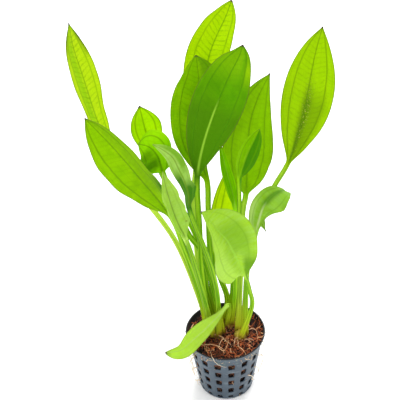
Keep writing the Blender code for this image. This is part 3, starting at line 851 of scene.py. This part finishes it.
def leaf(name, skin, route, blade_from, width, faces=((0, 30), (0, 30)), folds=(14, 14), belly=0.5,
         fullness=2.0, stalk=(3.8, 2.6), halves=((1.0, 1.0), (1.0, 1.0)), lobes=(0.0, 0.0),
         wave=(0.5, 19.0, 0.0), acumen=(0.4, 0.03), steady=0.0):
    """One leaf, lofted along its route: foot, stalk, blade from the point blade_from, and tip.

    faces are the directions of the upper side along the blade, belly is where the blade is widest, fullness
    shapes its outline, and stalk is the stalk's width and thickness. For the left and the right half, folds
    lift it in degrees, halves scale its width at even steps from base to tip, and lobes run its base back.
    wave is the height, length and start of the ripple along the edges, acumen how much and how far the tip
    is drawn out, and steady how far the ribs in the left half of a bent blade stay parallel.
    """
    samples, run = smooth_curve(route)
    start, total = run[blade_from * CURVE_SAMPLES], run[-1]
    lengths = [start * ring / STALK_RINGS for ring in range(STALK_RINGS)]
    lengths += [start + (total - start) * (0.5 - 0.5 * math.cos(math.pi * (ring / BLADE_RINGS) ** 0.9))
                for ring in range(BLADE_RINGS)]
    normals = [facing(*face) for face in faces]
    knots = np.linspace(0.0, 1.0, len(halves))
    course = (Vector(route[-1]) - at_length(samples, run, start)[0]).normalized()
    up_steps = [math.sin(math.pi / 2 * (2 * k / SECTION_STEPS - 1)) for k in range(SECTION_STEPS + 1)]
    section = [(s, 1) for s in up_steps] + [(s, -1) for s in reversed(up_steps[1:-1])]
    rise_power, fall_power = fullness * belly, fullness * (1 - belly)
    peak = belly ** rise_power * (1 - belly) ** fall_power
    points, places, reaches = [], [], []
    for length in lengths:
        point, along = at_length(samples, run, length)
        if length == 0.0:
            along = Vector((0.0, 0.0, 1.0))
        share = max(0.0, (length - start) / (total - start))
        stem = min(1.0, length / start)
        spot = share * (len(normals) - 1)
        index = min(int(spot), len(normals) - 2)
        normal = normals[index].lerp(normals[index + 1], ease(spot - index))
        normal = (normal - along * normal.dot(along)).normalized()
        across = along.cross(normal)
        guide = along.lerp(course, steady * ease(share / 0.15))
        inner = guide.cross(normal).normalized()
        flare = 1 + FOOT_FLARE * math.exp(-length / FLARE_LENGTH)
        stalk_half = stalk[0] / 2 * (1 - 0.05 * stem - 0.75 * share) * flare
        outline = width / 2 * share ** rise_power * (1 - share) ** fall_power / peak
        outline *= 1 - acumen[0] * math.exp((share - 1) / acumen[1])
        flat = ease(share / 0.2)
        stalk_thick = stalk[1] * (1 - 0.2 * stem)
        rib = RIB_HEIGHT * (1 - share) ** 0.8
        for s, face in section:
            hand = 0 if s < 0 else 1
            scale = np.interp(share, knots, [pair[hand] for pair in halves])
            half = math.hypot(outline * scale, stalk_half)
            fold = math.radians(folds[hand]) * ease(share / 0.15)
            back = lobes[hand] * abs(s) ** 0.8 * flat * (1 - ease(share / 0.45))
            bow = math.sqrt(s * s + FOLD_ROUNDING) - FOLD_DROP
            ripple = wave[0] * abs(s) ** 3 * flat * (1 - share ** 3)
            ripple *= math.sin(2 * math.pi * (length - start) / wave[1] + wave[2] + (0.0 if hand else 2.2))
            from_vein = (abs(s) - SIDE_VEIN) * half
            vein_dip = -VEIN_DIP * flat * math.exp(-(from_vein / VEIN_WIDTH) ** 2) * (1 - share)
            rounding = math.sqrt(max(0.0, 1 - s * s))
            blade_thick = EDGE_THICKNESS + MIDDLE_THICKNESS * rounding * (1 - 0.6 * share)
            thick = stalk_thick * rounding * (1 - flat) + flat * blade_thick
            if face < 0:
                thick += 2 * rib * flat * math.exp(-(s * half / RIB_WIDTH) ** 2)
            else:
                thick -= STALK_GROOVE * stalk_thick * (1 - flat) * math.exp(-(s / 0.4) ** 2)
                thick -= RIB_GROOVE * flat * (1 - share) * math.exp(-(s * half / 0.8) ** 2)
            lift = bow * half * math.sin(fold) + ripple + vein_dip + face * thick / 2
            sideways = (inner if s < 0 else across) * s * half * math.cos(fold)
            points.append(point + sideways - along * back + normal * lift)
            places.append((s, length - start, share if length >= start else stem - 1.0))
            reaches.append((s * half, half, length))
    count = len(section)
    quads = ring_faces(len(lengths), count)
    last = (len(lengths) - 1) * count
    quads += [(last + k, last + (k + 1) % count, len(points)) for k in range(count)]
    quads.append(tuple(reversed(range(count))))
    points.append(Vector(route[-1]))
    places.append((0.0, total - start, 1.0))
    reaches.append((0.0, 0.1, total))
    piece = mesh_piece("blade_" + name, points, quads, skin)
    for label, values in (("place", places), ("reach", reaches)):
        attribute = piece.data.attributes.new(label, "FLOAT_VECTOR", "POINT")
        attribute.data.foreach_set("vector", np.array(values, np.float32).ravel())
    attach(piece, "root")
    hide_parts("leaf_" + name)


def foot(crown, angle, out):
    """Where a stalk stands on its crown: an angle from +X and a distance from the middle."""
    (x, y), _ = CROWNS[crown]
    return x + out * math.cos(math.radians(angle)), y + out * math.sin(math.radians(angle)), FOOT_HEIGHT


leaf("far_left",
     leaf_skin("far_left", (200, 229, 34), (178, 217, 20), (118, 170, 6), (112, 168, 6), (228, 242, 40),
               rung=0.8, lit=0.5,
               light_and_shade_patches=[((128, 200, 0), 0.55, -0.75, 0.0, 0.1, 1.0),
                        ((62, 96, 24), 1.0, 0.6, 1.6, 0.78, 1.4),
                        ((62, 96, 24), 1.0, -1.6, -0.6, 0.8, 1.4)]),
     [foot("crown_left", 150, 5.2), (-19, 7, 83), (-31, 13, 121), (-42, 18, 140), (-55, 26, 155),
      (-68, 33, 173), (-77, 42, 199), (-84, 50, 228), (-88, 54, 246), (-89, 56, 260)], 4, 18,
     [(40, 20), (48, 15), (48, 15)], belly=0.6,
     halves=((0.85, 0.75), (0.85, 0.78), (0.86, 0.8), (0.86, 0.82), (0.9, 0.88), (1.1, 1.1), (1.28, 1.28),
             (1.32, 1.32), (1.5, 1.5)), wave=(0.4, 24.0, 1.0), acumen=(0.8, 0.04))
leaf("left_broad",
     leaf_skin("left_broad", (162, 208, 0), (134, 187, 0), (78, 125, 0), (74, 120, 0), (188, 225, 0),
               rung=0.3,
               light_and_shade_patches=[((112, 158, 10), 0.5, 0.0, 1.4, 0.2, 1.2),
                        ((50, 104, 0), 1.0, 0.62, 1.8, -0.3, 0.5)]),
     [foot("crown_left", 185, 5.2), (-17, 2, 85), (-20, 0, 103), (-26, -4, 132), (-32, -7, 157),
      (-50, -8, 190), (-64, -6, 211), (-78, -2, 228)], 4, 32,
     [(-24, 12), (-24, 12), (-20, 20)], folds=(27, 27), belly=0.56,
     halves=((1.0, 1.5), (1.0, 1.3), (1.0, 0.98), (1.0, 0.9), (1.0, 0.92)), wave=(0.45, 21.0, 0.6))
leaf("left_back_small",
     leaf_skin("left_back_small", (188, 230, 0), (164, 214, 0), (104, 147, 0), (94, 140, 0),
               (212, 244, 0), rung=0.25),
     [foot("crown_left", 72, 5.2), (-12, 8, 84), (-13, 11, 102), (-19, 16, 128), (-32, 21, 156),
      (-41, 26, 178), (-46, 30, 197), (-49, 33, 214)], 5, 19,
     [(8, 30), (8, 30)], belly=0.6, halves=((1.0, 1.0), (1.0, 1.0), (1.0, 1.12), (1.0, 1.2), (1.0, 1.3)),
     wave=(0.8, 14.0, 0.4), acumen=(0.6, 0.1))
leaf("left_arching",
     leaf_skin("left_arching", (178, 232, 8), (144, 208, 0), (96, 146, 0), (92, 142, 0), (202, 244, 0),
               rung=0.35, worn=0.15,
               light_and_shade_patches=[((76, 135, 0), 0.85, -1.4, 0.1, 0.1, 0.5),
                        ((96, 153, 0), 0.6, -1.4, 0.0, 0.4, 0.8)]),
     [foot("crown_left", 335, 5.2), (-7, 2, 86), (-12, 5, 109), (-16, 6, 121), (-22, 5, 133),
      (-30, 4.5, 160), (-36, 4, 184), (-37, 4, 190), (-39, 3, 198), (-43, 2, 204), (-49, 1, 207)], 6, 18,
     [(0, 20), (-5, 30), (-10, 40)], folds=(12, 12), belly=0.52, fullness=1.7,
     halves=((4.5, 1.2), (2.6, 1.0), (1.3, 1.12), (1.15, 1.65), (1.1, 2.0)), wave=(0.3, 14.0, 0.0),
     steady=0.75)
leaf("left_twisted",
     leaf_skin("left_twisted", (206, 240, 120), (176, 219, 80), (122, 170, 36), (112, 153, 22),
               (176, 219, 30), rung=0.4, painted_sheen=0.35, worn=0.1,
               light_and_shade_patches=[((112, 170, 12), 0.9, 0.15, 1.4, 0.46, 1.0),
                        ((60, 130, 0), 1.0, -1.4, 1.4, -0.2, 0.42),
                        ((60, 130, 0), 1.0, -1.5, -0.05, -0.2, 0.6)]),
     [foot("crown_left", 300, 5.2), (-5, -3, 87), (-8, -3, 109), (-12, -4, 127), (-21, -4, 162),
      (-21, -5, 173), (-23, -6, 184), (-26, -6, 193), (-29, -6, 201), (-34, -7, 207),
      (-40, -8, 212)], 4, 12.5,
     [(35, 30), (10, 40), (-5, 45)], folds=(12, 12), belly=0.42, fullness=1.6, wave=(0.4, 16.0, 0.0),
     halves=((0.5, 0.5), (0.5, 0.8), (0.5, 1.05), (0.55, 0.6), (0.75, 0.85), (0.9, 0.95), (1.0, 1.05),
             (1.0, 1.3), (1.0, 1.3)))
leaf("left_narrow",
     leaf_skin("left_narrow", (206, 238, 96), (184, 223, 70), (134, 176, 48), (112, 149, 34),
               (196, 229, 50), rung=0.35, painted_sheen=0.45, worn=0.1,
               spots=((5.4, 13.0, 0.8), (4.2, 15.5, 0.45))),
     [foot("crown_left", 258, 5.2), (-15, -6, 93), (-18, -9, 113), (-21, -11, 131), (-24, -13, 145),
      (-29, -15, 162), (-34, -17, 189), (-35, -17, 199)], 4, 14,
     [(38, 37), (38, 37)], folds=(33, 33), belly=0.5,
     halves=((1.0, 1.7), (1.0, 1.5), (1.0, 1.15), (1.1, 1.0), (1.8, 1.1), (1.6, 1.1)),
     wave=(0.7, 13.0, 1.4))
leaf("top",
     leaf_skin("top", (192, 226, 0), (172, 215, 0), (110, 162, 0), (88, 146, 0), (208, 232, 0), rung=0.85,
               lit=0.6),
     [foot("crown_left", 113, 5.2), (-15, 11, 77), (-17, 14, 102), (-18, 20, 126), (-18, 26, 149),
      (-15, 33, 172), (-10, 43, 203), (-5, 53, 235), (1, 57, 249), (6, 60, 258), (10, 62, 268)], 5, 28,
     [(0, 30), (0, 25), (0, 20)], belly=0.58, fullness=1.6, halves=((1.0, 1.0), (1.1, 0.85)),
     wave=(0.4, 26.0, 0.8))
leaf("center_back",
     leaf_skin("center_back", (160, 206, 0), (130, 188, 0), (88, 137, 0), (86, 135, 0), (176, 222, 0),
               rung=0.55, worn=0.6, light_and_shade_patches=[((98, 151, 0), 0.8, 0.05, 1.4, 0.4, 1.2)]),
     [foot("crown_left", 30, 5.2), (-8, 7.5, 83), (-9, 9, 122), (-9, 11, 150), (-9, 13, 169),
      (-13, 17, 185), (-15, 20, 199), (-14, 25, 216), (-12, 29, 233), (-13, 33, 247)], 4, 32,
     belly=0.58, fullness=1.8, halves=((1.0, 0.3), (1.0, 0.7), (1.0, 1.35)),
     wave=(0.5, 20.0, 2.0))
leaf("center_dark",
     leaf_skin("center_dark", (112, 178, 0), (92, 156, 0), (70, 129, 0), (160, 210, 60), (132, 190, 0),
               rib_until=0.5, rung=0.3,
               light_and_shade_patches=[((78, 134, 0), 0.95, -1.4, 1.4, -0.2, 0.62),
                        ((160, 205, 0), 0.8, 0.5, 1.4, 0.72, 1.0),
                        ((132, 186, 0), 0.7, -1.4, 0.6, 0.7, 1.1)]),
     [foot("crown_left", 222, 5.2), (-14, -2, 91), (-15, -1, 117), (-15, 1, 140), (-15, 5, 179),
      (-11, 8, 199), (-3, 12, 222), (6, 16, 242), (12, 19, 253), (14, 20, 259)], 4, 32,
     [(5, 30), (5, 30)], belly=0.58, fullness=1.75, wave=(0.4, 27.0, 0.3))
leaf("rolled_young",
     leaf_skin("rolled_young", (160, 216, 0), (140, 202, 0), (96, 150, 0), (128, 186, 10), (176, 224, 0),
               rung=0.25, worn=0.2, light_and_shade_patches=[((56, 125, 0), 0.97, -0.08, 1.5, -0.2, 1.2)]),
     [foot("crown_middle", 325, 2.7), (7, -1, 87), (8, -3, 126), (10, -5, 158), (10, -6, 184),
      (12, -6, 193), (15, -7, 204), (22, -5, 218)], 4, 14,
     [(10, 30), (10, 30)], folds=(40, 40), stalk=(3.0, 2.4), wave=(0.2, 18.0, 0.0),
     halves=((1.0, 1.0), (1.0, 1.0), (1.05, 1.05), (1.3, 1.25), (1.8, 1.7)), acumen=(0.0, 0.03))
leaf("back_low",
     leaf_skin("back_low", (188, 230, 0), (162, 214, 0), (122, 168, 0), (120, 164, 0), (232, 242, 0),
               rung=0.25),
     [foot("crown_middle", 150, 2.7), (2, 8, 74), (-2, 10, 89), (-6, 12, 103), (-6, 13, 113),
      (-3, 16, 132), (0, 18, 146), (6, 22, 176)], 4, 13,
     halves=((1.0, 1.0), (1.0, 1.9), (1.0, 1.9), (1.0, 1.2)))
leaf("over_rim",
     leaf_skin("over_rim", (188, 228, 66), (174, 220, 46), (166, 206, 72), (170, 204, 96), (206, 232, 80),
               rung=0.12, painted_sheen=0.2, light_and_shade_patches=[((60, 90, 20), 0.85, -1.5, 1.5, 0.9, 1.2)]),
     [foot("crown_middle", 240, 2.7), (2, 2, 60), (3, 0, 70), (2, -3, 77), (-5, -8, 72), (-15, -13, 64),
      (-22, -15, 58), (-31, -17, 50), (-42, -18, 49)], 3, 13,
     [(20, 50), (0, 50), (-20, 50)], belly=0.65, acumen=(0.0, 0.03),
     halves=((1.0, 0.9), (1.0, 1.1), (1.0, 1.3), (1.0, 1.15), (1.05, 0.85), (1.15, 0.6), (1.3, 0.5)),
     stalk=(3.0, 2.4), wave=(0.5, 17.0, 0.9))
leaf("edge_on",
     leaf_skin("edge_on", (166, 229, 0), (140, 215, 0), (100, 164, 0), (170, 219, 60), (180, 225, 0),
               rung=0.25, worn=0.3),
     [foot("crown_middle", 60, 2.7), (5.5, 6.5, 82), (7, 5, 119), (8, 4, 153), (6, 4, 168), (2, 5, 187),
      (-1, 7, 203)], 3, 13,
     folds=(56, 60), stalk=(3.0, 2.4), wave=(0.2, 15.0, 0.0))
leaf("right_center",
     leaf_skin("right_center", (146, 202, 0), (126, 184, 0), (92, 139, 0), (92, 139, 0), (186, 217, 0),
               rung=0.4, lit=0.3),
     [foot("crown_right", 115, 3.7), (10.5, 5, 82), (12, 6, 118), (13, 8, 149), (15, 9, 161),
      (16, 12, 185), (18, 16, 209), (23, 19, 225), (30, 22, 239)], 4, 27,
     belly=0.52,
     halves=((2.6, 2.0), (1.5, 1.4), (1.1, 1.12), (1.0, 0.95), (1.0, 0.75)), wave=(0.5, 23.0, 0.2))
leaf("right_tall",
     leaf_skin("right_tall", (170, 210, 0), (154, 199, 0), (92, 131, 0), (70, 107, 0), (196, 226, 0),
               rung=0.5, grit=1.0, lit=0.2, rib_until=0.0,
               light_and_shade_patches=[((118, 160, 0), 0.8, -0.3, 0.9, -0.1, 0.6)]),
     [foot("crown_right", 48, 3.7), (14.5, 5, 78), (16, 11, 95), (21, 19, 115), (27, 26, 133),
      (35, 31, 150), (44, 34, 166), (50, 37, 187), (54, 40, 204), (60, 47, 238), (64, 50, 254)], 6, 33,
     [(0, 30), (0, 30), (0, 25)], stalk=(3.5, 2.6), belly=0.53, wave=(0.4, 28.0, 0.5))
leaf("right_low",
     leaf_skin("right_low", (156, 201, 40), (132, 182, 16), (96, 146, 20), (196, 215, 140),
               (168, 210, 10), rib_until=0.16, rung=0.3, painted_sheen=0.3,
               light_and_shade_patches=[((70, 125, 8), 0.95, -0.35, 0.3, 0.12, 0.55),
                        ((190, 221, 120), 0.8, -1.4, -0.4, -0.2, 0.3)]),
     [foot("crown_right", 340, 3.7), (14.5, -1, 87), (16, -1, 111), (19, -1, 126), (21, 0, 138),
      (23, 3, 145), (26, 8, 151), (31, 13, 155), (37.5, 17, 156.5), (41.5, 20, 154), (41, 22.5, 149),
      (35, 22, 144), (27, 19, 135), (26.5, 18, 129.5), (29, 17.5, 123)], 4, 19,
     [(0, 25), (0, 45), (10, 85), (170, 30), (180, -10)], folds=(14, 4),
     halves=((1.3, 0.4), (1.18, 0.45), (1.05, 0.5), (0.95, 0.85), (0.85, 1.2), (0.75, 1.3), (0.6, 1.28),
             (0.42, 1.02), (0.16, 0.45), (0.1, 0.1), (0.3, 0.3), (0.4, 0.4), (0.6, 0.6), (0.8, 0.8),
             (1.8, 1.8), (5.0, 5.0), (6.0, 6.0)), belly=0.3, fullness=2.6, stalk=(3.0, 2.4),
     wave=(0.6, 14.0, 0.0))
leaf("front_broad",
     leaf_skin("front_broad", (184, 223, 44), (162, 210, 22), (112, 166, 8), (160, 214, 52),
               (204, 234, 20), rung=0.55, painted_sheen=0.42,
               light_and_shade_patches=[((122, 176, 4), 0.75, -0.2, 0.9, 0.3, 0.8),
                        ((104, 156, 0), 1.0, 0.25, 1.6, -0.2, 0.4),
                        ((186, 230, 76), 0.75, -1.5, -0.2, -0.1, 1.0)]),
     [foot("crown_right", 265, 3.7), (18, -8, 81), (16, -13, 99), (13, -18, 116), (9, -21, 129),
      (5, -25, 143), (1, -28, 155), (-4, -30, 164), (-8, -32, 172), (-14, -34, 182)], 3, 33,
     [(-25, 20), (5, 38), (30, 45)], folds=(27, 27), belly=0.45,
     halves=((1.2, 0.4), (1.15, 0.75), (1.05, 0.95), (1.0, 1.2), (0.9, 1.6), (0.9, 1.9)),
     lobes=(18.0, 1.0), stalk=(3.2, 2.4), wave=(0.7, 20.0, 0.0))
